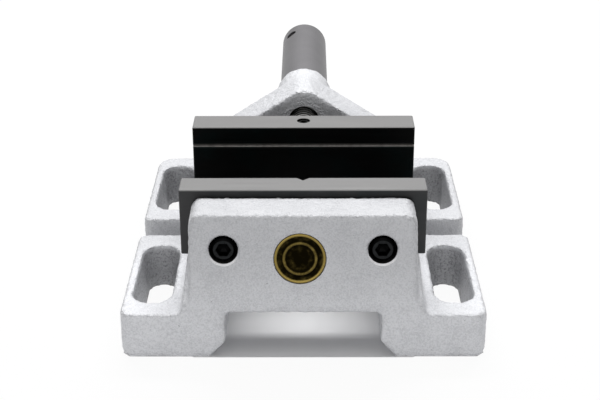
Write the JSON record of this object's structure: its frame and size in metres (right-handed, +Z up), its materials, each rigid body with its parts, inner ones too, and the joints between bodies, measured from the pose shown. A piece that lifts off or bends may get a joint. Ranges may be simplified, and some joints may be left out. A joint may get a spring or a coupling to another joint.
{
  "type": "drill press vise",
  "caption": "Low drill press vise: slotted cast base, fixed and sliding steel jaws with prism grooves, and a turning sleeve nut behind that moves the rear jaw along its ways.",
  "frame": {"origin": "on the table, under the middle of the whole vise's length and width", "axes": "+X to the right as seen from the fixed jaw's front, +Y from the fixed jaw towards the sleeve's end, +Z up"},
  "size_m": [0.148, 0.2596, 0.0637],
  "materials": {
    "silver_paint": "silver hammered paint, slightly rough",
    "blackened_steel": "black oxide, ground bright on its top face",
    "black_screw_steel": "black oxide, satin",
    "grey_steel": "satin grey",
    "bright_steel": "turned, oiled",
    "brass": "antique, satin",
    "bronze": "turned bronze"
  },
  "bodies": {
    "body": {"base_casting": "silver_paint", "badge_plate": "brass", "front_jaw": "blackened_steel", "front_jaw_screw_left": "black_screw_steel", "front_jaw_screw_right": "black_screw_steel", "thrust_washer": "bronze", "sleeve_pin_left": "bright_steel", "sleeve_pin_right": "bright_steel"},
    "jaw": {"moving_jaw": "blackened_steel", "guide_block": "grey_steel", "keeper_plate": "grey_steel", "keeper_screw_left": "black_screw_steel", "keeper_screw_right": "black_screw_steel", "keeper_lock_washer_left": "bright_steel", "keeper_lock_washer_right": "bright_steel", "spindle": "bright_steel", "jaw_lock_screw": "black_screw_steel"},
    "sleeve": {"sleeve_nut": "grey_steel"}
  },
  "joints": [
    {"name": "jaw_slide", "type": "slide", "parent": "body", "child": "jaw", "axis": [0, 1, 0], "range_m": [-0.0557, 0.0181]},
    {"name": "sleeve_spin", "type": "hinge", "parent": "body", "child": "sleeve", "pos_m": [0, 0.0153, 0.0482], "axis": [0, 1, 0], "range_deg": [-6684.5, 2172.5]}
  ],
  "couplings": [
    {"joint": "sleeve_spin", "follows": "jaw_slide", "rad_per_m": 2094.4}
  ]
}
